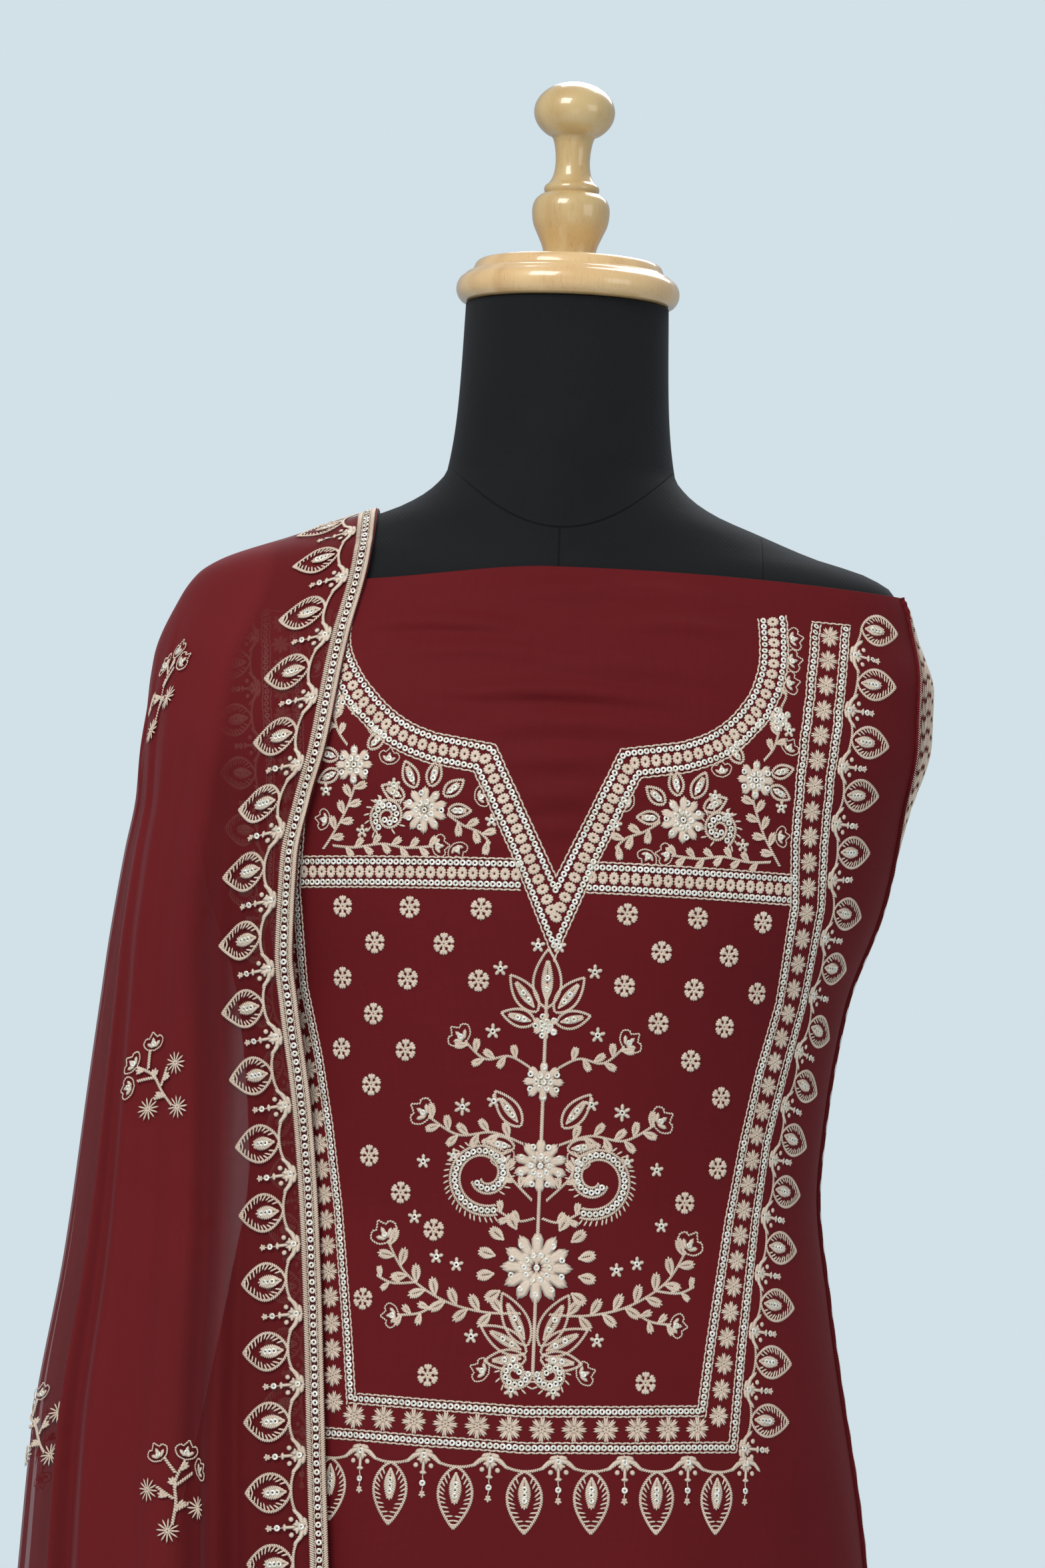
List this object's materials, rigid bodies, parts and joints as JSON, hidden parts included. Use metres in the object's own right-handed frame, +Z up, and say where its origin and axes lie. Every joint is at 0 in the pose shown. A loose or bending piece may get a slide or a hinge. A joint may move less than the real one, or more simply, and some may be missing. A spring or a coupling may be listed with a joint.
{
  "type": "salwar kameez suit on dress form",
  "caption": "Maroon embroidered kameez, salwar and sheer dupatta worn on a limbless dress form with a turned wooden neck cap, standing on a round base.",
  "frame": {"origin": "centre of the stand base's underside, on the floor", "axes": "+Z up, the front of the suit faces -Y, +X is to the right of someone who looks at the front"},
  "size_m": [0.573, 0.3973, 1.6615],
  "materials": {
    "kameez_cloth": "matte georgette with thread and sequin embroidery",
    "salwar_cloth": "plain matte cloth",
    "dupatta_cloth": "sheer georgette",
    "form_cover": "black knit",
    "turned_wood": "gloss varnish",
    "pole_steel": "black satin"
  },
  "bodies": {
    "root": {"kameez_front": "kameez_cloth", "kameez_back": "kameez_cloth", "kameez_border_right": "kameez_cloth", "kameez_border_left": "kameez_cloth", "salwar_waistband": "salwar_cloth", "salwar_yoke_right": "salwar_cloth", "salwar_yoke_left": "salwar_cloth", "salwar_leg_right": "salwar_cloth", "salwar_leg_left": "salwar_cloth", "salwar_cuff_right": "salwar_cloth", "salwar_cuff_left": "salwar_cloth", "dupatta_front": "dupatta_cloth", "dupatta_shoulder": "dupatta_cloth", "dupatta_back": "dupatta_cloth", "dress_form": "form_cover", "neck_cap": "turned_wood", "finial": "turned_wood", "stand_base": "turned_wood", "stand_pole": "pole_steel"}
  },
  "joints": []
}
